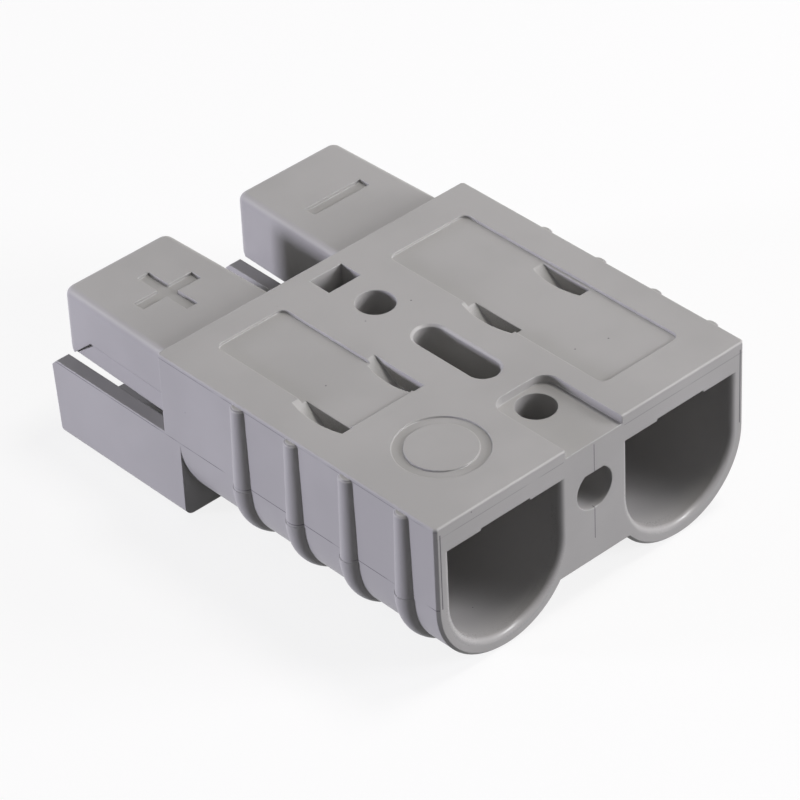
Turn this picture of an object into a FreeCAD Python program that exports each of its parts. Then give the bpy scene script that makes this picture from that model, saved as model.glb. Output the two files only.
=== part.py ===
import FreeCAD, Part
import math
import os

import Sketcher

# Genderless two-pole power connector housing with its two contact springs.
# X runs across the poles, Y towards the mating end, Z up with the marked side on top.
# The origin is the middle of the part's footprint, on the surface that it rests on.
# Inside each body, Y starts at the wire end, and the Placement moves it to the origin.

# name, millimetres (or a count), what it sets
SIZES = [
    ("total_length", 48.4, "wire end to the front of the sleeves"),
    ("body_length", 33.5, "wire end to the mating face"),
    ("body_height", 16.0, "resting surface to the top face"),
    ("pole_spacing", 19.8, "between the two barrel centres"),
    ("barrel_radius", 7.55, "round underside of a barrel"),
    ("web_bottom", 3.25, "underside of the web between the barrels"),
    ("corner_chamfer", 0.25, "upright corners of the body and rims of the barrels"),
    ("top_edge_radius", 0.2, "rim of the top face"),
    ("socket_wall", 1.45, "wall of a barrel round its wire socket"),
    ("socket_roof", 2.7, "top face to the flat roof of a wire socket"),
    ("socket_depth", 13.6, "length of a wire socket"),
    ("socket_relief_rise", 0.2, "relief along the middle of the roof"),
    ("socket_relief_width", 5.4, "width of that relief"),
    ("socket_mouth_radius", 0.5, "bell mouth of a wire socket"),
    ("channel_wall", 0.8, "flank of a tongue to its contact channel"),
    ("channel_floor", 5.5, "floor of the contact channel"),
    ("channel_roof_drop", 4.4, "top face to the channel's roof, where the spring seats"),
    ("tongue_front", 48.2, "wire end to the tip of the tongues"),
    ("tongue_gap_root", 7.0, "between the two tongues at the mating face"),
    ("tongue_gap_tip", 7.9, "between the two tongues at their tips"),
    ("tongue_inset_root", 1.45, "tongue side behind the body side at the mating face"),
    ("tongue_inset_tip", 1.85, "tongue side behind the body side at the tip"),
    ("tongue_step", 1.5, "top face of the body to that of the tongues"),
    ("tongue_clearance", 0.1, "mid-plane to the underside of the tongues"),
    ("tongue_edge_radius", 0.8, "rounded top edges of the tongues"),
    ("tongue_corner_radius", 1.0, "upright front corners of the tongues"),
    ("tongue_lip_chamfer", 0.85, "chamfer under the tip"),
    ("tongue_lip", 1.7, "lip that closes the spring bed at the tip"),
    ("flank_height", 2.1, "underside of a tongue to the ledge along its outer flank"),
    ("flank_depth", 0.6, "how far the flank steps in under the ledge"),
    ("flank_reach", 44.8, "wire end to where the ledge ramps down"),
    ("flank_ramp", 2.4, "length of the ramp that closes the flank"),
    ("flank_foot", 0.2, "lower edge of the flank behind the tongue side"),
    ("sleeve_root", 2.2, "how far a sleeve reaches back under the body"),
    ("sleeve_gap", 4.3, "between the two sleeves"),
    ("sleeve_outer_wall", 1.35, "outer wall of a sleeve"),
    ("sleeve_inner_wall", 1.28, "inner wall of a sleeve"),
    ("sleeve_floor", 1.4, "floor of a sleeve"),
    ("sleeve_cavity_root", 0.5, "how far its cavity reaches back under the body"),
    ("sleeve_edge_radius", 0.9, "rounded lower edges of the sleeves"),
    ("sleeve_front_chamfer", 0.9, "front of the sleeve walls at the mid-plane"),
    ("sleeve_front_lean", 0.5, "lower edge of the sleeve front behind its upper edge"),
    ("sleeve_front_rim", 0.25, "outer rim of the sleeve front"),
    ("rib_count", 4, "grip ribs on each side"),
    ("rib_first", 3.85, "wire end to the first rib"),
    ("rib_pitch", 6.5, "from rib to rib"),
    ("rib_radius", 1.0, "half-round section of a rib"),
    ("rib_proud", 0.73, "how far a rib stands out"),
    ("rib_top_drop", 0.25, "top face to the flat top of a rib"),
    ("rib_top_chamfer", 0.18, "rim of the flat top of a rib"),
    ("rib_root", 0.4, "how deep a rib is rooted in the body side"),
    ("rib_tip_radius", 0.83, "radius of a rib at its flat top"),
    ("rib_step", 0.07, "step in the ribs at the parting line"),
    ("rib_fade", 1.2, "centre of a rib's bend outside the barrel's centre"),
    ("mount_spacing", 19.1, "between the two mounting holes"),
    ("mount_first", 6.6, "wire end to the first mounting hole"),
    ("mount_diameter", 3.55, "mounting holes"),
    ("mount_pocket_width", 6.4, "sunk pocket round the first mounting hole"),
    ("mount_pocket_length", 8.8, "length of that pocket"),
    ("mount_pocket_depth", 0.8, "depth of that pocket"),
    ("mount_pocket_corner", 1.5, "inner corners of that pocket"),
    ("slot_width", 2.9, "long slot between the mounting holes"),
    ("slot_rear", 11.3, "wire end to the near end of the slot"),
    ("slot_front", 20.5, "wire end to the far end of the slot"),
    ("slot_rim", 0.2, "chamfer round the slot"),
    ("window_width", 3.6, "square window by the mating end"),
    ("window_length", 2.45, "length of that window"),
    ("window_setback", 1.55, "mating face to the window"),
    ("web_hole_radius", 2.0, "round hole in the wire end of the web"),
    ("web_hole_height", 10.45, "height of its centre"),
    ("web_hole_flat", 1.7, "centre to the flat on its upper side"),
    ("web_hole_depth", 3.6, "depth of that hole"),
    ("panel_depth", 0.25, "sunk label panels on the top face"),
    ("panel_corner", 0.8, "corners of the label panels"),
    ("left_panel_outer", 13.4, "outer side of the positive pole's panel"),
    ("left_panel_inner", 5.9, "inner side of that panel"),
    ("left_panel_rear", 14.5, "wire end to that panel"),
    ("left_panel_front", 30.7, "wire end to the far end of that panel"),
    ("right_panel_outer", 14.2, "outer side of the negative pole's panel"),
    ("right_panel_inner", 5.2, "inner side of that panel"),
    ("right_panel_rear", 4.2, "wire end to that panel"),
    ("right_panel_front", 29.8, "wire end to the far end of that panel"),
    ("ring_across", 9.7, "centre of the plain ring on the positive pole"),
    ("ring_along", 7.45, "wire end to the centre of the ring"),
    ("ring_outer_radius", 4.05, "outer edge of the ring"),
    ("ring_inner_radius", 3.1, "inner edge of the ring"),
    ("ring_depth", 0.15, "depth of the ring"),
    ("scoop_rear", 14.4, "wire end to the blunt end of the scoops"),
    ("scoop_side", 14.1, "middle of the body to the outer side of the first scoop"),
    ("scoop_spacing", 7.9, "between the two scoops of a pole"),
    ("scoop_pole_spacing", 18.95, "between the scoops of one pole and those of the other"),
    ("scoop_length", 6.0, "length of a scoop at the top face"),
    ("scoop_width", 1.15, "width of a scoop at its blunt end"),
    ("scoop_bow", 0.5, "how far the outer side of a scoop bows out"),
    ("scoop_floor", 3.2, "length of a scoop at its floor"),
    ("scoop_depth", 1.7, "depth of a scoop"),
    ("sign_across", 9.72, "middle of the body to the polarity signs"),
    ("sign_along", 41.25, "wire end to the polarity signs"),
    ("sign_length", 6.4, "length of the strokes of the signs"),
    ("sign_stroke", 1.25, "width of the strokes"),
    ("sign_depth", 0.3, "depth of the signs"),
    ("spring_side_gap", 0.5, "between a contact spring and the channel's side"),
    ("spring_thickness", 0.45, "thickness of a contact spring"),
    ("spring_rear", 19.0, "wire end to the spring's anchor tab"),
    ("spring_tab", 0.8, "height of the anchor tab"),
    ("spring_bend", 29.0, "wire end to where the spring leaves the roof"),
    ("spring_span", 16.2, "length of the bowed part"),
    ("spring_sag", 1.4, "how far the bow hangs below the roof"),
    ("spring_tip_gap", 0.3, "free tip below the roof"),
    ("spring_clearance", 0.12, "round the anchor tab in its notch"),
]

SIDES = {"positive": -1, "negative": 1}


class Size:
    """A length with its present value and the expression that keeps it bound to the sheet."""

    def __init__(self, value, text):
        self.value = value
        self.text = text

    def joined(self, other, sign, value):
        return Size(value, f"({self.text} {sign} {as_size(other).text})")

    def __add__(self, other):
        return self.joined(other, "+", self.value + as_size(other).value)

    def __sub__(self, other):
        return self.joined(other, "-", self.value - as_size(other).value)

    def __mul__(self, other):
        return self.joined(other, "*", self.value * as_size(other).value)

    def __truediv__(self, other):
        return self.joined(other, "/", self.value / as_size(other).value)

    def __rsub__(self, other):
        return as_size(other) - self

    def __rmul__(self, other):
        return as_size(other) * self

    def __neg__(self):
        return as_size(-1) * self


def as_size(number):
    if isinstance(number, Size):
        return number
    return Size(float(number), f"({number})")


def root(size):
    return Size(math.sqrt(size.value), f"sqrt{size.text}")


def write_sheet(doc):
    """Writes every driving size into the sheet and returns them by name."""
    sheet = doc.addObject("Spreadsheet::Sheet", "sizes")
    named = {}
    for row, (alias, number, meaning) in enumerate(SIZES, start=1):
        sheet.set(f"A{row}", alias)
        sheet.set(f"B{row}", str(number))
        sheet.set(f"C{row}", meaning)
        sheet.setAlias(f"B{row}", alias)
        named[alias] = Size(float(number), f"sizes.{alias}")
    doc.recompute()
    return named


def add_following_sizes(size):
    """Sizes that follow from the driving ones."""
    top = size["body_height"]
    size["body_width"] = size["pole_spacing"] + size["barrel_radius"] * 2
    size["socket_radius"] = size["barrel_radius"] - size["socket_wall"]
    size["socket_top"] = top - size["socket_roof"]
    size["sleeve_rear"] = size["body_length"] - size["sleeve_root"]
    size["sleeve_cavity_rear"] = size["body_length"] - size["sleeve_cavity_root"]
    size["sleeve_top"] = top / 2
    size["tongue_bottom"] = top / 2 + size["tongue_clearance"]
    size["tongue_top"] = top - size["tongue_step"]
    size["flank_ledge"] = size["tongue_bottom"] + size["flank_height"]
    size["channel_roof"] = top - size["channel_roof_drop"]
    flank = size["body_width"] / 2 - size["tongue_inset_root"] - size["flank_depth"]
    channel_side = flank - size["channel_wall"] - size["pole_spacing"] / 2
    size["channel_width"] = channel_side * 2
    size["spring_width"] = size["channel_width"] - size["spring_side_gap"] * 2


def new_body(doc, label, across):
    """A body whose own Y starts at the wire end, placed so that the part is centred."""
    body = doc.addObject("PartDesign::Body", label)
    body.Label = label
    body.setExpression("Placement.Base.x", as_size(across).text)
    body.setExpression("Placement.Base.y", (size["total_length"] / -2).text)
    return body


def origin_plane(body, role):
    return next(part for part in body.Origin.OriginFeatures if part.Role == role)


def new_sketch(body, name, role, offset=None):
    """A sketch on one of the body's own planes, moved along its normal by offset."""
    sketch = body.newObject("Sketcher::SketchObject", name)
    sketch.AttachmentSupport = [(origin_plane(body, role), "")]
    sketch.MapMode = "FlatFace"
    if offset is not None:
        sketch.setExpression("AttachmentOffset.Base.z", offset.text)
    body.Document.recompute()
    return sketch


def pin(sketch, geometry, point, axis, distance):
    """Holds one coordinate of a sketch point at a bound distance from the origin."""
    distance = as_size(distance)
    if distance.value == 0:
        line = -2 if axis == "X" else -1
        sketch.addConstraint(Sketcher.Constraint("PointOnObject", geometry, point, line))
        return
    kind = "Distance" + axis
    number = sketch.addConstraint(
        Sketcher.Constraint(kind, -1, 1, geometry, point, distance.value))
    sketch.setExpression(f"Constraints[{number}]", distance.text)


def arc_curve(start, end, centre, clockwise):
    """The arc from start to end about centre, and its angles as a sketch keeps them."""
    if clockwise:
        start, end = end, start
    from_angle = math.atan2(start.y - centre.y, start.x - centre.x)
    to_angle = math.atan2(end.y - centre.y, end.x - centre.x)
    if to_angle <= from_angle:
        to_angle += 2 * math.pi
    radius = start.distanceToPoint(centre)
    circle = Part.Circle(centre, FreeCAD.Vector(0, 0, 1), radius)
    return Part.ArcOfCircle(circle, from_angle, to_angle)


def draw_outline(sketch, corners):
    """A closed outline. A corner is (x, y), or (x, y, centre, turn) where the next edge is an arc."""
    points = [FreeCAD.Vector(as_size(c[0]).value, as_size(c[1]).value, 0) for c in corners]
    edges = []
    for index, corner in enumerate(corners):
        start = points[index]
        end = points[(index + 1) % len(points)]
        if len(corner) == 2:
            edges.append((sketch.addGeometry(Part.LineSegment(start, end)), 1, 2))
            continue
        middle = FreeCAD.Vector(as_size(corner[2][0]).value, as_size(corner[2][1]).value, 0)
        clockwise = corner[3] == "clockwise"
        arc = sketch.addGeometry(arc_curve(start, end, middle, clockwise))
        edges.append((arc, 2, 1) if clockwise else (arc, 1, 2))
    for index, corner in enumerate(corners):
        edge, first, last = edges[index]
        next_edge, next_first, next_last = edges[(index + 1) % len(edges)]
        sketch.addConstraint(
            Sketcher.Constraint("Coincident", edge, last, next_edge, next_first))
        pin(sketch, edge, first, "X", corner[0])
        pin(sketch, edge, first, "Y", corner[1])
    for index, corner in enumerate(corners):
        if len(corner) == 4:
            chord = points[(index + 1) % len(points)] - points[index]
            axis, place = ("Y", 1) if abs(chord.x) > abs(chord.y) else ("X", 0)
            pin(sketch, edges[index][0], 3, axis, corner[2][place])


def draw_box(sketch, x_low, x_high, y_low, y_high):
    draw_outline(sketch, [(x_low, y_low), (x_high, y_low), (x_high, y_high), (x_low, y_high)])


def draw_circle(sketch, x, y, radius):
    centre = FreeCAD.Vector(as_size(x).value, as_size(y).value, 0)
    ring = sketch.addGeometry(Part.Circle(centre, FreeCAD.Vector(0, 0, 1), radius.value))
    pin(sketch, ring, 3, "X", x)
    pin(sketch, ring, 3, "Y", y)
    number = sketch.addConstraint(Sketcher.Constraint("Radius", ring, radius.value))
    sketch.setExpression(f"Constraints[{number}]", radius.text)


def pad(body, sketch, length, reverse=False, both_ways=False):
    feature = body.newObject("PartDesign::Pad", sketch.Name + "_pad")
    feature.Profile = sketch
    feature.Reversed = reverse
    feature.Midplane = both_ways
    feature.setExpression("Length", length.text)
    body.Document.recompute()
    return feature


def pocket(body, sketch, depth, reverse=False, both_ways=False):
    """Cuts the sketch into the body and makes sure that it took something away."""
    before = body.Shape.Volume
    feature = body.newObject("PartDesign::Pocket", sketch.Name + "_pocket")
    feature.Profile = sketch
    feature.Reversed = reverse
    feature.Midplane = both_ways
    feature.setExpression("Length", as_size(depth).text)
    body.Document.recompute()
    must_shrink(body, before, feature)
    return feature


def must_shrink(body, before, feature):
    if body.Shape.Volume >= before:
        raise RuntimeError(feature.Name + " cut nothing")


def cut_loft(body, name, profile, section):
    """Cuts what lies between two flat outlines with straight sides from one to the other."""
    before = body.Shape.Volume
    feature = body.newObject("PartDesign::SubtractiveLoft", name)
    feature.Profile = profile
    feature.Sections = [section]
    feature.Ruled = True
    body.Document.recompute()
    must_shrink(body, before, feature)
    return feature


def repeat(body, name, features, axis, spacing, count):
    """Copies features along one of the body's own axes."""
    feature = body.newObject("PartDesign::LinearPattern", name)
    feature.Originals = features
    feature.Direction = (origin_plane(body, axis), [""])
    feature.setExpression("Length", (spacing * (count - 1)).text)
    feature.setExpression("Occurrences", as_size(count).text)
    body.Tip = feature
    body.Document.recompute()
    return feature


def edges_where(shape, test):
    names = [f"Edge{i}" for i, edge in enumerate(shape.Edges, start=1) if test(edge)]
    if not names:
        raise RuntimeError("no edge there to finish")
    return names


def finish_edges(body, kind, name, size_property, amount, test):
    """Fillets or chamfers the edges of the body that pass the test."""
    base = body.Tip
    feature = body.newObject(kind, name)
    feature.Base = (base, edges_where(base.Shape, test))
    feature.setExpression(size_property, amount.text)
    body.Document.recompute()
    return feature


def fillet(body, name, radius, test):
    return finish_edges(body, "PartDesign::Fillet", name, "Radius", radius, test)


def chamfer(body, name, amount, test):
    return finish_edges(body, "PartDesign::Chamfer", name, "Size", amount, test)


NEAR = 0.02


def near(number, wanted):
    return abs(number - as_size(wanted).value) < NEAR


def middle_of(edge):
    """Middle of an edge's box, with Y counted from the wire end."""
    point = edge.BoundBox.Center
    return point.x, point.y, point.z


def upright(edge):
    box = edge.BoundBox
    return box.ZLength > NEAR and box.XLength < NEAR and box.YLength < NEAR


def lengthwise(edge):
    box = edge.BoundBox
    return box.YLength > NEAR and box.XLength < NEAR and box.ZLength < NEAR


def add_body_block(body):
    """The two round-bottomed barrels with the web between them, as one extruded section."""
    side = size["body_width"] / 2
    pole = size["pole_spacing"] / 2
    radius = size["barrel_radius"]
    web_side = pole - root(radius * radius - (radius - size["web_bottom"]) * (radius - size["web_bottom"]))
    section = new_sketch(body, "body_section", "XZ_Plane")
    draw_outline(section, [
        (web_side, size["web_bottom"], (pole, radius), "anticlockwise"),
        (side, radius),
        (side, size["body_height"]),
        (-side, size["body_height"]),
        (-side, radius, (-pole, radius), "anticlockwise"),
        (-web_side, size["web_bottom"]),
    ])
    pad(body, section, size["body_length"], reverse=True)


def round_body(body):
    """Breaks the upright corners and the barrel rims, and rounds the top face's rim."""
    side = size["body_width"] / 2

    def corner(edge):
        return upright(edge) and near(abs(middle_of(edge)[0]), side)

    chamfer(body, "body_corners", size["corner_chamfer"], corner)

    def top_rim(edge):
        return near(edge.BoundBox.ZMin, size["body_height"])

    fillet(body, "top_rim", size["top_edge_radius"], top_rim)


def draw_rib_section(sketch, direction, radius):
    """A rib cut across: a round crest on a root that reaches into the body side."""
    side = size["body_width"] / 2
    centre = side + size["rib_proud"] - size["rib_radius"]
    root_side = side - size["rib_root"]
    depth = centre - root_side
    half = root(radius * radius - depth * depth)
    along = size["rib_first"]
    draw_outline(sketch, [
        (direction * root_side, along - direction * half, (direction * centre, along), "anticlockwise"),
        (direction * root_side, along + direction * half),
    ])


def add_ribs(body):
    """Grip ribs: drafted upright shafts, then bends that run out into the barrels."""
    top = size["body_height"] - size["rib_top_drop"]
    parts = []
    for name, direction in SIDES.items():
        parts.append(add_rib_shaft(body, name, direction, top))
        parts.append(add_rib_bend(body, name, direction))
    repeat(body, "rib_rows", parts, "Y_Axis", size["rib_pitch"], size["rib_count"])

    def rib_top(edge):
        box = edge.BoundBox
        outside = max(abs(box.XMin), abs(box.XMax)) > size["body_width"].value / 2 + NEAR
        return near(box.ZMin, top) and near(box.ZMax, top) and outside

    chamfer(body, "rib_tops", size["rib_top_chamfer"], rib_top)


def add_rib_shaft(body, name, direction, top):
    """The upper half of a rib: a cone sunk in the body side, narrower at its top."""
    across = size["body_width"] / 2 + size["rib_proud"] - size["rib_radius"]
    height = size["barrel_radius"]
    shaft = body.newObject("PartDesign::AdditiveCone", name + "_rib_shaft")
    shaft.AttachmentSupport = [(origin_plane(body, "XY_Plane"), "")]
    shaft.MapMode = "FlatFace"
    for axis, distance in zip("xyz", (direction * across, size["rib_first"], height)):
        shaft.setExpression(f"AttachmentOffset.Base.{axis}", distance.text)
    shaft.setExpression("Radius1", size["rib_radius"].text)
    shaft.setExpression("Radius2", size["rib_tip_radius"].text)
    shaft.setExpression("Height", (top - height).text)
    body.Document.recompute()
    return shaft


def add_rib_bend(body, name, direction):
    """The lower half of a rib, turned about an axis outside the barrel's, so that it runs out."""
    axis_side = direction * (size["pole_spacing"] / 2 + size["rib_fade"])
    height = size["barrel_radius"]
    section = new_sketch(body, name + "_rib_bend", "XY_Plane", height)
    far = size["total_length"]
    ends = [FreeCAD.Vector(axis_side.value, 0, 0), FreeCAD.Vector(axis_side.value, far.value, 0)]
    axis = section.addGeometry(Part.LineSegment(*ends), True)
    for point, along in ((1, 0), (2, far)):
        pin(section, axis, point, "X", axis_side)
        pin(section, axis, point, "Y", along)
    draw_rib_section(section, direction, size["rib_radius"] + size["rib_step"])
    bend = body.newObject("PartDesign::Revolution", section.Name + "_turn")
    bend.Profile = section
    bend.ReferenceAxis = (section, ["Axis0"])
    bend.Angle = 90
    bend.Reversed = direction < 0
    body.Document.recompute()
    return bend


def tongue_side(along):
    """The outer side of a tongue, which is drafted from the mating face to the tip."""
    root_side = size["body_width"] / 2 - size["tongue_inset_root"]
    draft = size["tongue_inset_tip"] - size["tongue_inset_root"]
    share = (along - size["body_length"]) / (size["tongue_front"] - size["body_length"])
    return root_side - draft * share


def add_tongues(body):
    """Two drafted upper tongues, each with a stepped outer flank, that enter the mate's sleeves."""
    rear = size["body_length"]
    front = size["tongue_front"]
    plan = new_sketch(body, "tongue_plan", "XY_Plane", size["tongue_bottom"])
    for direction in SIDES.values():
        draw_outline(plan, [
            (direction * size["tongue_gap_root"] / 2, rear),
            (direction * tongue_side(rear), rear),
            (direction * tongue_side(front), front),
            (direction * size["tongue_gap_tip"] / 2, front),
        ])
    pad(body, plan, size["tongue_top"] - size["tongue_bottom"])

    def front_corner(edge):
        return upright(edge) and near(middle_of(edge)[1], front)

    fillet(body, "tongue_corners", size["tongue_corner_radius"], front_corner)

    def top_edge(edge):
        box = edge.BoundBox
        ahead = box.YMin > rear.value - NEAR
        across_mating_face = box.YLength < NEAR and near(box.YMin, rear)
        return near(box.ZMin, size["tongue_top"]) and ahead and not across_mating_face

    fillet(body, "tongue_edges", size["tongue_edge_radius"], top_edge)

    bottom = size["tongue_bottom"]
    lip = size["tongue_lip_chamfer"]
    lips = new_sketch(body, "tongue_lips", "YZ_Plane")
    draw_outline(lips, [
        (front - lip, bottom),
        (front + lip, bottom),
        (front + lip, bottom + lip * 2),
    ])
    pocket(body, lips, size["body_width"], both_ways=True)


def cut_flanks(body):
    """Under the ledge the outer flank steps in, and a ramp closes it near the tip."""
    rear = size["body_length"]
    low_front = size["flank_reach"] + size["flank_ramp"]
    clear = tongue_side(rear) + size["flank_depth"]
    for name, direction in SIDES.items():
        low = new_sketch(body, name + "_flank_foot", "XY_Plane", size["tongue_bottom"])
        draw_flank(low, direction, low_front, size["flank_foot"], clear)
        high = new_sketch(body, name + "_flank_ledge", "XY_Plane", size["flank_ledge"])
        draw_flank(high, direction, size["flank_reach"], size["flank_depth"], clear)
        cut_loft(body, name + "_flank", low, high)


def draw_flank(sketch, direction, front, inset, clear):
    rear = size["body_length"]
    draw_outline(sketch, [
        (direction * (tongue_side(rear) - inset), rear),
        (direction * (tongue_side(front) - inset), front),
        (direction * clear, front),
        (direction * clear, rear),
    ])


def add_sleeves(body):
    """Two lower sleeves, open towards the mid-plane and the front, that take the mate's tongues."""
    outer = size["body_width"] / 2
    inner = size["sleeve_gap"] / 2
    front = size["total_length"]
    foot = front - size["sleeve_front_lean"]
    top = size["sleeve_top"]
    nose = size["sleeve_front_chamfer"]
    for name, start in (("positive", -outer), ("negative", inner)):
        profile = new_sketch(body, name + "_sleeve", "YZ_Plane", start)
        draw_outline(profile, [
            (size["sleeve_rear"], 0),
            (foot, 0),
            (front, top - nose),
            (front - nose, top),
            (size["sleeve_rear"], top),
        ])
        pad(body, profile, outer - inner)

    def lower_edge(edge):
        box = edge.BoundBox
        on_floor = near(box.ZMin, 0) and box.ZLength < NEAR
        return on_floor and lengthwise(edge) and near(abs(box.XMin), outer)

    fillet(body, "sleeve_lower_edges", size["sleeve_edge_radius"], lower_edge)

    def front_rim(edge):
        box = edge.BoundBox
        across_nose = near(box.ZMin, top - nose)
        return box.YMin > foot.value - NEAR and box.ZMax < top.value and not across_nose

    chamfer(body, "sleeve_front_rim", size["sleeve_front_rim"], front_rim)

    cavities = new_sketch(body, "sleeve_cavities", "XY_Plane", top)
    ahead = front + nose
    for direction in SIDES.values():
        low = inner + size["sleeve_inner_wall"]
        high = outer - size["sleeve_outer_wall"]
        if direction < 0:
            low, high = -high, -low
        draw_box(cavities, low, high, size["sleeve_cavity_rear"], ahead)
    pocket(body, cavities, top - size["sleeve_floor"])


def cut_wire_sockets(body):
    """Round-bottomed wire sockets with a flat, slightly relieved roof and a bell mouth."""
    pole = size["pole_spacing"] / 2
    height = size["barrel_radius"]
    radius = size["socket_radius"]
    relief = size["socket_relief_width"] / 2
    roof = size["socket_top"]
    sockets = new_sketch(body, "wire_sockets", "XZ_Plane")
    for direction in SIDES.values():
        centre = direction * pole
        draw_outline(sockets, [
            (centre - radius, height, (centre, height), "anticlockwise"),
            (centre + radius, height),
            (centre + radius, roof),
            (centre + relief, roof),
            (centre + relief, roof + size["socket_relief_rise"]),
            (centre - relief, roof + size["socket_relief_rise"]),
            (centre - relief, roof),
            (centre - radius, roof),
        ])
    pocket(body, sockets, size["socket_depth"])

    def mouth(edge):
        box = edge.BoundBox
        return near(box.YMax, 0) and near(box.ZMin, height - radius) and near(box.XLength, radius * 2)

    fillet(body, "socket_mouths", size["socket_mouth_radius"], mouth)


def cut_contact_channels(body):
    """From each wire socket a channel runs on into the bed under the tongue."""
    half = size["channel_width"] / 2
    channels = new_sketch(body, "contact_channels", "XZ_Plane")
    for direction in SIDES.values():
        centre = direction * size["pole_spacing"] / 2
        draw_box(channels, centre - half, centre + half, size["channel_floor"], size["channel_roof"])
    pocket(body, channels, size["tongue_front"] - size["tongue_lip"])
    half = (size["spring_width"] + size["spring_clearance"]) / 2
    rear = size["spring_rear"] - size["spring_clearance"]
    front = size["spring_rear"] + size["spring_thickness"] + size["spring_clearance"]
    notch_rise = size["spring_tab"] + size["spring_clearance"]
    notches = new_sketch(body, "spring_notches", "XY_Plane", size["channel_roof"])
    for direction in SIDES.values():
        centre = direction * size["pole_spacing"] / 2
        draw_box(notches, centre - half, centre + half, rear, front)
    pocket(body, notches, notch_rise, reverse=True)


def cut_web(body):
    """What goes through the web: mounting holes, long slot, window, and the wire-end hole."""
    through = size["body_height"]
    holes = new_sketch(body, "mounting_holes", "XY_Plane", size["body_height"])
    for along in (size["mount_first"], size["mount_first"] + size["mount_spacing"]):
        draw_circle(holes, 0, along, size["mount_diameter"] / 2)
    pocket(body, holes, through)
    half = size["slot_width"] / 2
    slot_low = size["slot_rear"] + half
    slot_high = size["slot_front"] - half
    slot = new_sketch(body, "long_slot", "XY_Plane", size["body_height"])
    draw_outline(slot, [
        (-half, slot_low, (0, slot_low), "anticlockwise"),
        (half, slot_low),
        (half, slot_high, (0, slot_high), "anticlockwise"),
        (-half, slot_high),
    ])
    pocket(body, slot, through)

    def slot_rim(edge):
        box = edge.BoundBox
        ahead = box.YMin > size["slot_rear"].value - NEAR
        behind = box.YMax < size["slot_front"].value + NEAR
        inside = box.XMax < size["slot_width"].value / 2 + NEAR
        return near(box.ZMin, size["body_height"]) and ahead and behind and inside

    chamfer(body, "slot_chamfer", size["slot_rim"], slot_rim)
    window = new_sketch(body, "square_window", "XY_Plane", size["body_height"])
    far = size["body_length"] - size["window_setback"]
    half = size["window_width"] / 2
    draw_box(window, -half, half, far - size["window_length"], far)
    pocket(body, window, through)
    web_hole = new_sketch(body, "web_hole", "XZ_Plane")
    radius = size["web_hole_radius"]
    flat = size["web_hole_flat"]
    flat_half = root(radius * radius - flat * flat)
    height = size["web_hole_height"]
    draw_outline(web_hole, [
        (-flat_half, height + flat, (0, height), "anticlockwise"),
        (flat_half, height + flat),
    ])
    pocket(body, web_hole, size["web_hole_depth"])


def cut_mount_pocket(body):
    """A shallow pocket, open at the wire end, gives the first screw head a flat seat."""
    half = size["mount_pocket_width"] / 2
    corner = size["mount_pocket_corner"]
    length = size["mount_pocket_length"]
    seat = new_sketch(body, "mount_pocket", "XY_Plane", size["body_height"])
    draw_outline(seat, [
        (-half, -corner),
        (half, -corner),
        (half, length - corner, (half - corner, length - corner), "anticlockwise"),
        (half - corner, length),
        (corner - half, length, (corner - half, length - corner), "anticlockwise"),
        (-half, length - corner),
    ])
    pocket(body, seat, size["mount_pocket_depth"])


def draw_rounded_box(sketch, x_low, x_high, y_low, y_high, corner):
    draw_outline(sketch, [
        (x_low + corner, y_low),
        (x_high - corner, y_low, (x_high - corner, y_low + corner), "anticlockwise"),
        (x_high, y_low + corner),
        (x_high, y_high - corner, (x_high - corner, y_high - corner), "anticlockwise"),
        (x_high - corner, y_high),
        (x_low + corner, y_high, (x_low + corner, y_high - corner), "anticlockwise"),
        (x_low, y_high - corner),
        (x_low, y_low + corner, (x_low + corner, y_low + corner), "anticlockwise"),
    ])


def cut_top_face(body):
    """Label panels, the plain ring and the four tapered scoops of the top face."""
    panels = new_sketch(body, "label_panels", "XY_Plane", size["body_height"])
    draw_rounded_box(panels, -size["left_panel_outer"], -size["left_panel_inner"],
                     size["left_panel_rear"], size["left_panel_front"], size["panel_corner"])
    draw_rounded_box(panels, size["right_panel_inner"], size["right_panel_outer"],
                     size["right_panel_rear"], size["right_panel_front"], size["panel_corner"])
    pocket(body, panels, size["panel_depth"])
    ring = new_sketch(body, "plain_ring", "XY_Plane", size["body_height"])
    for radius in (size["ring_outer_radius"], size["ring_inner_radius"]):
        draw_circle(ring, -size["ring_across"], size["ring_along"], radius)
    pocket(body, ring, size["ring_depth"])
    outer_scoop = cut_scoop(body, "outer_scoop", -size["scoop_side"])
    inner_scoop = cut_scoop(body, "inner_scoop", size["scoop_spacing"] - size["scoop_side"])
    scoops = [outer_scoop, inner_scoop]
    repeat(body, "scoop_rows", scoops, "X_Axis", size["scoop_pole_spacing"], as_size(2))


def draw_scoop(sketch, across, length):
    """A blunt end, a straight inner side and a bowed outer side."""
    rear = size["scoop_rear"]
    bow = size["scoop_bow"]
    half = length / 2
    bow_radius = (half * half + bow * bow) / (bow * 2)
    draw_outline(sketch, [
        (across, rear),
        (across + size["scoop_width"], rear),
        (across + size["scoop_width"], rear + length),
        (across, rear + length, (across - bow + bow_radius, rear + half), "anticlockwise"),
    ])


def cut_scoop(body, name, across):
    """One scoop: steep walls, a blunt rear end, and a floor that ramps up towards its far end."""
    mouth = new_sketch(body, name + "_mouth", "XY_Plane", size["body_height"])
    draw_scoop(mouth, across, size["scoop_length"])
    floor = new_sketch(body, name + "_floor", "XY_Plane", size["body_height"] - size["scoop_depth"])
    draw_scoop(floor, across, size["scoop_floor"])
    return cut_loft(body, name, mouth, floor)


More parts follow.
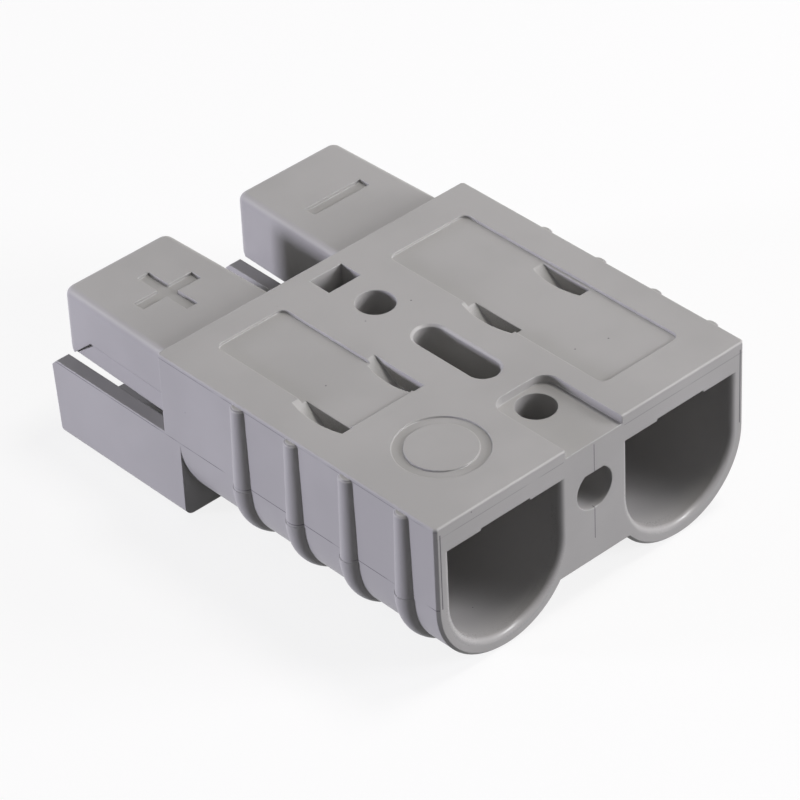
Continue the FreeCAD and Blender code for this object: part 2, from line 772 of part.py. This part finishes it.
def cut_signs(body):
    """A sunk plus on one tongue and a sunk minus on the other mark the polarity."""
    long_half = size["sign_length"] / 2
    short_half = size["sign_stroke"] / 2
    along = size["sign_along"]
    signs = new_sketch(body, "polarity_signs", "XY_Plane", size["tongue_top"])
    minus = size["sign_across"]
    draw_box(signs, minus - long_half, minus + long_half, along - short_half, along + short_half)
    plus = -size["sign_across"]
    draw_outline(signs, [
        (plus - short_half, along - long_half),
        (plus + short_half, along - long_half),
        (plus + short_half, along - short_half),
        (plus + long_half, along - short_half),
        (plus + long_half, along + short_half),
        (plus + short_half, along + short_half),
        (plus + short_half, along + long_half),
        (plus - short_half, along + long_half),
        (plus - short_half, along + short_half),
        (plus - long_half, along + short_half),
        (plus - long_half, along - short_half),
        (plus - short_half, along - short_half),
    ])
    pocket(body, signs, size["sign_depth"])


def make_housing(doc):
    body = new_body(doc, "housing", 0)
    add_body_block(body)
    round_body(body)
    add_ribs(body)
    add_tongues(body)
    cut_flanks(body)
    add_sleeves(body)
    cut_wire_sockets(body)
    cut_contact_channels(body)
    cut_web(body)
    cut_mount_pocket(body)
    cut_top_face(body)
    cut_signs(body)
    return body


def make_spring(doc, name, direction):
    """A bent strip: an upright tab in the roof's notch, a flat seat, and a bow towards the mate."""
    body = new_body(doc, name + "_leaf_spring", direction * size["pole_spacing"] / 2)
    thick = size["spring_thickness"]
    roof = size["channel_roof"]
    rear = size["spring_rear"]
    half_span = size["spring_span"] / 2
    sag = size["spring_sag"]
    inner_radius = (half_span * half_span + sag * sag) / (sag * 2)
    outer_radius = inner_radius + thick
    middle = size["spring_bend"] + half_span
    centre_height = roof - sag + inner_radius
    under = roof - thick - centre_height
    under_start = middle - root(outer_radius * outer_radius - under * under)
    tip_height = roof - size["spring_tip_gap"]
    rise = tip_height - centre_height
    tip = middle + root(inner_radius * inner_radius - rise * rise)
    stretch = outer_radius / inner_radius
    profile = new_sketch(body, name + "_spring_profile", "YZ_Plane")
    draw_outline(profile, [
        (rear, roof - thick),
        (under_start, roof - thick, (middle, centre_height), "anticlockwise"),
        (middle + (tip - middle) * stretch, centre_height + rise * stretch),
        (tip, tip_height, (middle, centre_height), "clockwise"),
        (size["spring_bend"], roof),
        (rear + thick, roof),
        (rear + thick, roof + size["spring_tab"]),
        (rear, roof + size["spring_tab"]),
    ])
    pad(body, profile, size["spring_width"], both_ways=True)
    return body


def check_document(doc, bodies):
    for item in doc.Objects:
        if "Invalid" in item.State or "Error" in item.State:
            raise RuntimeError(f"{item.Label} failed: {item.State}")
    for body in bodies:
        if body.Shape.isNull() or not body.Shape.isValid():
            raise RuntimeError(f"{body.Label} has no valid shape")
        if len(body.Shape.Solids) != 1:
            raise RuntimeError(f"{body.Label} has {len(body.Shape.Solids)} solids")


doc = FreeCAD.newDocument("genderless_power_connector")
size = write_sheet(doc)
add_following_sizes(size)
bodies = [make_housing(doc)]
for pole_name, pole_side in SIDES.items():
    bodies.append(make_spring(doc, pole_name, pole_side))
doc.recompute()
check_document(doc, bodies)
os.makedirs("parts", exist_ok=True)
for body in bodies:
    body.Shape.exportStep(os.path.join("parts", body.Label + ".step"))
    box = body.Shape.BoundBox
    print(f"{body.Label}: {box.XLength:.2f} x {box.YLength:.2f} x {box.ZLength:.2f} mm,",
          f"{body.Shape.Volume:.1f} cubic mm")
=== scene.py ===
# %% [markdown]
# A genderless power connector
#
# The real object is one grey moulding of satin plastic with two steel leaf springs
# inside it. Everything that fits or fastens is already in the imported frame, so this
# script gives each surface its finish, adds the fine witness lines that a mould leaves,
# and sets up the studio.

# %% Load the frame
import bmesh
import bpy
from mathutils import Matrix, Vector


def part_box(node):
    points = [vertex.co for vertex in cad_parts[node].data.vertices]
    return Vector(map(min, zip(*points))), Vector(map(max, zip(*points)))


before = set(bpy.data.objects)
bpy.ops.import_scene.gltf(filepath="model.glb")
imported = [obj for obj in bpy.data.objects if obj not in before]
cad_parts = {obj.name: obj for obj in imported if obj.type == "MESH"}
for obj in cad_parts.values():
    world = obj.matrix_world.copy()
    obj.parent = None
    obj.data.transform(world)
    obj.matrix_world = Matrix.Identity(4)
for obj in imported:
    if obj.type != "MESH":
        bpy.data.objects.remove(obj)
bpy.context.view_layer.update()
MM = 0.001
scene = bpy.context.scene
scene.view_settings.view_transform = "Standard"
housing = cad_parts["housing"]
housing_low, housing_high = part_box("housing")
print("housing", [round(side / MM, 2) for side in housing_high - housing_low], "mm")

# %% [markdown]
# Shader maths as expressions
#
# A node tree is easier to read as a formula. Socket wraps one output socket, and its
# operators add Math nodes, so `1 - mask` works as it reads. Any other node comes from
# NodeTree.node, which sets the node's options first and then its inputs. A material and
# the world both have such a tree, so both are built with it.

# %% A socket that can be used in a formula
class Socket:
    def __init__(self, tree, output):
        self.tree = tree
        self.output = output

    def math(self, operation, *values):
        return self.tree.node("ShaderNodeMath", {"operation": operation}, values)

    def __add__(self, other):
        return self.math("ADD", self, other)

    def __radd__(self, other):
        return self.math("ADD", other, self)

    def __sub__(self, other):
        return self.math("SUBTRACT", self, other)

    def __rsub__(self, other):
        return self.math("SUBTRACT", other, self)

    def __mul__(self, other):
        return self.math("MULTIPLY", self, other)

    def __rmul__(self, other):
        return self.math("MULTIPLY", other, self)

    def __pow__(self, other):
        return self.math("POWER", self, other)

    def __abs__(self):
        return self.math("ABSOLUTE", self)

    def __gt__(self, other):
        return self.math("GREATER_THAN", self, other)

    def __lt__(self, other):
        return self.math("LESS_THAN", self, other)


# %% A tree whose nodes are made by name
class NodeTree:
    def __init__(self, tree, output_kind):
        self.tree = tree
        self.tree.nodes.clear()
        self.output = self.tree.nodes.new(output_kind)

    def node(self, kind, settings=None, inputs=(), output=0):
        made = self.tree.nodes.new(kind)
        for setting, value in (settings or {}).items():
            setattr(made, setting, value)
        pairs = inputs.items() if isinstance(inputs, dict) else enumerate(inputs)
        for key, value in pairs:
            if isinstance(value, Socket):
                self.tree.links.new(value.output, made.inputs[key])
            else:
                made.inputs[key].default_value = value
        return Socket(self, made.outputs[output])

    def place(self):
        """Object coordinates in metres, whole and as three separate numbers."""
        whole = self.node("ShaderNodeTexCoord", output="Object")
        split = self.node("ShaderNodeSeparateXYZ", inputs=[whole])
        parts = [Socket(self, socket) for socket in split.output.node.outputs]
        return whole, parts

    def noise(self, place, per_metre, detail):
        return self.node("ShaderNodeTexNoise", {}, {
            "Vector": place, "Scale": per_metre, "Detail": detail, "Roughness": 0.5})

    def ramp(self, value, low, high):
        """Rises smoothly from 0 at low to 1 at high."""
        return self.node("ShaderNodeMapRange", {"interpolation_type": "SMOOTHSTEP"}, {
            "Value": value, "From Min": low, "From Max": high})

    def blend(self, factor, first, second):
        return self.node("ShaderNodeMix", {"data_type": "RGBA"}, {0: factor, 6: first, 7: second}, 2)

    def show(self, shader):
        self.tree.links.new(shader.output, self.output.inputs["Surface"])


# %% Finishes and their colours
class Finish(NodeTree):
    """A material."""

    def __init__(self, name):
        self.material = bpy.data.materials.new(name)
        self.material.use_nodes = True
        super().__init__(self.material.node_tree, "ShaderNodeOutputMaterial")

    def surface(self, inputs):
        self.show(self.node("ShaderNodeBsdfPrincipled", {}, inputs))
        print(self.material.name, len(self.tree.nodes), "nodes")
        return self.material


def linear(red, green, blue):
    """An sRGB colour in 0 to 255, as the linear colour that a shader takes."""
    channels = []
    for level in (red, green, blue):
        share = level / 255
        channels.append(share / 12.92 if share <= 0.04045 else ((share + 0.055) / 1.055) ** 2.4)
    return (*channels, 1.0)


def dress(node, material):
    node.data.materials.clear()
    node.data.materials.append(material)


# %% [markdown]
# Where the surfaces are
#
# The lines and the polished places below sit at fixed spots of the moulding, so masks
# pick them out by place: along is +Y, from the wire end to the tongues, up is +Z, and
# across is X. Three planes are read from the frame, and the rest are distances from
# them, so the masks keep to the moulding.

# %% Planes of the moulding, and two kinds of mask
RIB_DEPTH = 0.73 * MM
SIDE = housing_high.x - RIB_DEPTH
WIRE_END = housing_low.y
TOP = housing_high.z
print("side", round(SIDE / MM, 2), "wire end", round(WIRE_END / MM, 2), "top", round(TOP / MM, 2))


def band(value, middle, half):
    return abs(value - middle) < half


def between(value, low, high):
    return (value > low) * (value < high)


# %% [markdown]
# The mould's witness lines
#
# Where two halves of a mould meet, a hair of plastic is pressed out and leaves a line.
# Here one runs round the sides half-way up, one runs just under the top face, and the
# core that forms the wire end leaves upright ones. Such a line is far thinner than
# anything worth modelling, so each is a mask: one inside a narrow band, zero outside.
# A slow noise makes the faint ones come and go.

# %% Masks for the witness lines
FACE_DEPTH = 0.3 * MM
LINE_HALF = 0.045 * MM
CORE_LINE_HALF = 0.063 * MM
PARTING_HEIGHT = 7.8 * MM
TOP_LINE_DROP = 0.32 * MM
CORE_LINE_ACROSS = 16.95 * MM
CORE_LINE_TOP = 15.3 * MM
ROOF_LINE_HEIGHT = 14.95 * MM
WEB_HALF = 3.4 * MM
WEB_LINE_FROM = 5.3 * MM
WEB_LINE_DROP = 1.1 * MM
PARTING_SHOWS = 0.8
UNDER_TOP_SHOWS = 0.55
ROOF_SHOWS = 0.35
CORE_SHOWS = 0.9
WEB_SHOWS = 0.85
BREAKS_PER_METRE = 260
BREAK_ENDS = (0.34, 0.52)


def witness_lines(finish, place, across, along, up):
    """How strongly a witness line shows, from 0 to 1."""
    comes_and_goes = finish.ramp(finish.noise(place, BREAKS_PER_METRE, 1.0), *BREAK_ENDS)
    far_out = abs(across) > SIDE - FACE_DEPTH
    on_wire_end = along < WIRE_END + FACE_DEPTH
    parting = far_out * band(up, PARTING_HEIGHT, LINE_HALF)
    under_top = far_out * band(up, TOP - TOP_LINE_DROP, LINE_HALF)
    core_height = between(up, PARTING_HEIGHT, CORE_LINE_TOP)
    core = on_wire_end * band(abs(across), CORE_LINE_ACROSS, CORE_LINE_HALF) * core_height
    web_height = between(up, WEB_LINE_FROM, TOP - WEB_LINE_DROP)
    web = on_wire_end * band(across, 0.0, LINE_HALF) * web_height
    roof = on_wire_end * band(up, ROOF_LINE_HEIGHT, LINE_HALF) * (abs(across) > WEB_HALF)
    faint = parting * PARTING_SHOWS + under_top * UNDER_TOP_SHOWS + roof * ROOF_SHOWS
    return faint * comes_and_goes + core * CORE_SHOWS + web * WEB_SHOWS


print("witness lines", round(2 * LINE_HALF / MM, 3), "mm wide")

# %% [markdown]
# Specks
#
# Grey plastic often holds a few dark specks of ground-up scrap. Cell noise gives the
# distance to the nearest of many scattered points, so a small limit on it leaves dots.
# A slow noise keeps them to some patches, because an even scatter looks printed.

# %% Specks in the plastic
SPECKS_PER_METRE = 420
SPECK_REACH = 0.035
PATCHES_PER_METRE = 150
PATCH_FROM = 0.52
SPECK_SHOWS = 0.8


def specks(finish, place):
    to_nearest = finish.node("ShaderNodeTexVoronoi", {}, {"Vector": place, "Scale": SPECKS_PER_METRE})
    in_a_patch = finish.noise(place, PATCHES_PER_METRE, 1.0) > PATCH_FROM
    return (to_nearest < SPECK_REACH) * in_a_patch * SPECK_SHOWS


print("specks at most", round(2 * SPECK_REACH / SPECKS_PER_METRE / MM, 2), "mm wide")

# %% [markdown]
# Worn edges with a painted highlight, and drawn bores
#
# Handling polishes the edges, so they are much glossier than the faces, and their colour
# is painted a little lighter as a painted highlight. The Bevel node knows where an edge
# is, since its normal turns away from the face's there. The mouths of the wire sockets
# and the four scoops are glossier than the spark-eroded faces too, because the steel
# that formed them slid along them.

# %% Edge, socket and scoop masks
FLAT = 0.995
EDGE_MASK_FULL = 0.88
POLE_ACROSS = 9.9 * MM
BARREL_RADIUS = 7.55 * MM
SOCKET_REACH = 6.75 * MM
MOUTH_DEPTH = 1.2 * MM
MOUTH_TOP = 13.6 * MM
SCOOPS_ACROSS = (4.0 * MM, 15.0 * MM)
SCOOPS_ALONG = (WIRE_END + 14.2 * MM, WIRE_END + 20.8 * MM)
SCOOPS_UP = (TOP - 2.0 * MM, TOP - 0.35 * MM)


# The edge mask serves two things: glossier edges from wear, and a painted highlight in a lighter colour.
def edge_wear_and_highlight(finish, rounded):
    """Grows from 0 on a face to 1 on an edge."""
    face = finish.node("ShaderNodeNewGeometry", output="Normal")
    agreement = finish.node("ShaderNodeVectorMath", {"operation": "DOT_PRODUCT"}, [face, rounded], "Value")
    return finish.ramp(agreement, FLAT, EDGE_MASK_FULL)


def inside_sockets(across, along, up):
    sideways = abs(across) - POLE_ACROSS
    height = up - BARREL_RADIUS
    from_axis = (sideways * sideways + height * height) ** 0.5
    return (from_axis < SOCKET_REACH) * (along < WIRE_END + MOUTH_DEPTH) * (up < MOUTH_TOP)


def inside_scoops(across, along, up):
    over_poles = between(abs(across), *SCOOPS_ACROSS)
    return over_poles * between(along, *SCOOPS_ALONG) * between(up, *SCOOPS_UP)


print("polished mouths", round(MOUTH_DEPTH / MM, 2), "mm deep")

# %% [markdown]
# The housing's plastic
#
# Connector housings of this kind are moulded in grey polycarbonate with a satin finish.
# Three things make it read as moulded plastic and not as paint: edges that are never
# knife sharp, a very fine spark-eroded grain, and slow changes of gloss where the
# plastic flowed. A Bevel node rounds the shading of the tiny edges, and noise at three
# scales does the rest. The masks from above then darken the lines, make the edges
# glossier and paint them lighter as a painted highlight.

# %% Housing plastic
PLASTIC = linear(173, 172, 170)
PLASTIC_SHADE = linear(167, 166, 164)
# The lighter edge colour is a painted highlight along the edges.
PLASTIC_EDGE_HIGHLIGHT = linear(192, 192, 190)
WITNESS_DARK = linear(96, 94, 98)
EDGE_ROUNDING = 0.14 * MM
FLOW_PER_METRE = 90
GRAIN_PER_METRE = 9000
PORES_PER_METRE = 2250
SATIN = 0.42
GRAIN_RELIEF = 0.02 * MM


def housing_plastic():
    finish = Finish("satin_grey_plastic")
    place, (across, along, up) = finish.place()
    flow = finish.noise(place, FLOW_PER_METRE, 3.0)
    grain = finish.noise(place, GRAIN_PER_METRE, 1.0)
    pores = finish.noise(place, PORES_PER_METRE, 2.0)
    rounded = finish.node("ShaderNodeBevel", {"samples": 6}, {"Radius": EDGE_ROUNDING})
    wear_and_highlight = edge_wear_and_highlight(finish, rounded)
    lines = witness_lines(finish, place, across, along, up)
    drawn = inside_sockets(across, along, up) + inside_scoops(across, along, up)
    colour = finish.blend(finish.ramp(flow, 0.35, 0.65), PLASTIC, PLASTIC_SHADE)
    # Painted highlight: the edges are painted in the lighter edge colour.
    colour = finish.blend(wear_and_highlight * 0.5, colour, PLASTIC_EDGE_HIGHLIGHT)
    colour = finish.blend(lines + specks(finish, place), colour, WITNESS_DARK)
    roughness = SATIN + flow * 0.08 + grain * 0.04 - wear_and_highlight * 0.16 - drawn * 0.2
    height = grain * 0.6 + pores * 0.4 - lines * 1.5
    normal = finish.node("ShaderNodeBump", {}, {
        "Strength": 0.10, "Distance": GRAIN_RELIEF, "Height": height, "Normal": rounded})
    return finish.surface({
        "Base Color": colour, "Roughness": roughness, "Normal": normal,
        "IOR": 1.5, "Specular IOR Level": 0.32})


dress(housing, housing_plastic())

# %% [markdown]
# The springs' steel
#
# Each leaf spring is cut from rolled stainless strip, so its surface carries fine lines
# along its length. Stretched noise gives those lines, and it changes only the
# roughness and the bump, because the colour of bare steel hardly varies.

# %% Spring steel
STEEL = linear(196, 194, 190)
ROLLING_PER_METRE = 5000
ROLLING_STRETCH = (1.0, 0.03, 1.0)
STRIP_EDGE_ROUNDING = 0.08 * MM
ROLLING_RELIEF = 0.01 * MM


def spring_steel():
    finish = Finish("rolled_spring_steel")
    place, _ = finish.place()
    stretched = finish.node("ShaderNodeMapping", {}, {"Vector": place, "Scale": ROLLING_STRETCH})
    lines = finish.noise(stretched, ROLLING_PER_METRE, 2.0)
    rounded = finish.node("ShaderNodeBevel", {"samples": 4}, {"Radius": STRIP_EDGE_ROUNDING})
    normal = finish.node("ShaderNodeBump", {}, {
        "Strength": 0.2, "Distance": ROLLING_RELIEF, "Height": lines, "Normal": rounded})
    return finish.surface({
        "Base Color": STEEL, "Metallic": 1.0, "Roughness": 0.26 + lines * 0.14, "Normal": normal})


steel = spring_steel()
for spring in ("positive_leaf_spring", "negative_leaf_spring"):
    dress(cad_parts[spring], steel)

# %% [markdown]
# The floor
#
# The photograph has a white ground. The floor is seen as white, through Light Path, and
# it still takes the object's shadow. To every other ray it is dark, so that it throws
# back only a little light, because the ribs' shaded flanks are dark in the photograph.

# %% Floor
FLOOR_SIZE = 4.0
FLOOR_GLOW = 0.84
FLOOR_BOUNCE = (0.07, 0.07, 0.075, 1.0)
FLOOR_SEEN = (0.97, 0.97, 0.97, 1.0)
WHITE = (1.0, 1.0, 1.0, 1.0)


def seen_directly(tree):
    """One on the rays that see a thing itself: from the camera, a gloss or through glass."""
    camera, gloss, glass = [tree.node("ShaderNodeLightPath", output=name) for name in
                            ("Is Camera Ray", "Is Glossy Ray", "Is Transmission Ray")]
    return (camera + gloss + glass) > 0.5


def floor_white():
    finish = Finish("studio_floor")
    seen = seen_directly(finish)
    colour = finish.blend(seen, FLOOR_BOUNCE, FLOOR_SEEN)
    lit = finish.node("ShaderNodeBsdfDiffuse", {}, {"Color": colour})
    glow = finish.node("ShaderNodeEmission", {}, {"Color": WHITE, "Strength": 1.0})
    finish.show(finish.node("ShaderNodeMixShader", {}, [seen * FLOOR_GLOW, lit, glow]))
    return finish.material


def make_floor():
    mesh = bpy.data.meshes.new("studio_floor")
    shape = bmesh.new()
    bmesh.ops.create_grid(shape, x_segments=1, y_segments=1, size=FLOOR_SIZE / 2)
    shape.to_mesh(mesh)
    shape.free()
    floor = bpy.data.objects.new("studio_floor", mesh)
    scene.collection.objects.link(floor)
    mesh.materials.append(floor_white())


make_floor()
print("floor", FLOOR_SIZE, "m wide")

# %% [markdown]
# The sky
#
# The world is white where it is seen, as the floor is, and gives only a weak light. With
# a stronger one the wire sockets and the shade between the tongues would go flat.

# %% World
SKY_COLOUR = (0.96, 0.95, 1.0, 1.0)
SKY_STRENGTH = 0.15


def make_world():
    world = bpy.data.worlds.new("studio_world")
    scene.world = world
    world.use_nodes = True
    sky = NodeTree(world.node_tree, "ShaderNodeOutputWorld")
    light = sky.node("ShaderNodeBackground", {}, {"Color": SKY_COLOUR, "Strength": SKY_STRENGTH})
    white = sky.node("ShaderNodeBackground", {}, {"Color": WHITE, "Strength": 1.0})
    sky.show(sky.node("ShaderNodeMixShader", {}, [seen_directly(sky), light, white]))


make_world()
print("sky strength", SKY_STRENGTH)

# %% [markdown]
# The lamps
#
# Three square lamps light the object at a plain level: a broad key from the right of the
# wire end, a cool one behind the ribbed side and a warm one above. The cool one is small
# and low, because each rib has a narrow, fairly sharp dark flank and the tongue by the
# plus pole throws its shadow on the other tongue's inner side. All three are kept out of
# the gloss: lamps so low would burn out the top face when it is seen from across.

# %% Lamps
AIM_MM = (0, 0, 8)
LAMPS = {
    "key_right_of_wire_end": ((330, -400, 170), 240, 2.6, (0.97, 0.95, 1.0)),
    "cool_behind_ribs": ((-510, 360, 75), 120, 3.9, (0.86, 0.835, 1.0)),
    "warm_top": ((180, -60, 450), 140, 1.0, (1.0, 0.97, 0.94))}


def make_lamp(name, place_mm, size_mm, watts, colour=(1.0, 1.0, 1.0)):
    data = bpy.data.lights.new(name, "AREA")
    data.shape = "SQUARE"
    data.size = size_mm * MM
    data.energy = watts
    data.color = colour
    lamp = bpy.data.objects.new(name, data)
    scene.collection.objects.link(lamp)
    lamp.location = Vector(place_mm) * MM
    direction = (Vector(AIM_MM) - Vector(place_mm)).normalized()
    lamp.rotation_euler = direction.to_track_quat("-Z", "Y").to_euler()
    return lamp


for name, (place_mm, size_mm, watts, colour) in LAMPS.items():
    lamp = make_lamp(name, place_mm, size_mm, watts, colour)
    lamp.visible_glossy = False
print("lamps", len(LAMPS))

# %% [markdown]
# Gloss cards
#
# The photograph shows small bright marks on the bell mouths of the wire sockets, on the
# ribs' tops and along the top face's edges. Three small cards make them, high up, so that
# they stay small marks from any side. They light nothing else, since a card that is
# switched off for diffuse rays is only seen in a gloss.

# %% Gloss cards
GLOSS_CARDS = {
    "card_right_of_wire_end": ((186, -250, 250), 90, 1.20),
    "card_over_wire_end": ((130, -170, 350), 60, 0.54),
    "card_behind_ribs": ((-240, 240, 220), 60, 0.80)}
for name, (place_mm, size_mm, watts) in GLOSS_CARDS.items():
    card = make_lamp(name, place_mm, size_mm, watts)
    card.visible_diffuse = False
print("gloss cards", len(GLOSS_CARDS))

# %% [markdown]
# The camera
#
# The camera stands where edges and corners read off the photograph put it: in front
# of the positive pole's side of the wire end, looking down at 37 degrees, with a long lens.

# %% Camera
CAMERA_AT = Vector((-190.96, -218.42, 225.27)) * MM
CAMERA_FORWARD = Vector((0.52692, 0.59998, -0.60199))
CAMERA_RIGHT = Vector((0.73144, -0.68083, -0.03832))
CAMERA_CLIP = 0.01
FOCAL_PIXELS = 4300.3
FRAME_PIXELS = 800
SENSOR_MM = 36.0


def make_camera():
    data = bpy.data.cameras.new("photo_camera")
    data.sensor_width = SENSOR_MM
    data.lens = FOCAL_PIXELS * SENSOR_MM / FRAME_PIXELS
    data.clip_start = CAMERA_CLIP
    camera = bpy.data.objects.new("photo_camera", data)
    scene.collection.objects.link(camera)
    back = -CAMERA_FORWARD.normalized()
    right = (CAMERA_RIGHT - CAMERA_RIGHT.project(back)).normalized()
    up = back.cross(right)
    turn = Matrix((right, up, back)).transposed().to_4x4()
    camera.matrix_world = Matrix.Translation(CAMERA_AT) @ turn
    scene.camera = camera
    print("lens", round(data.lens, 1), "mm")


make_camera()
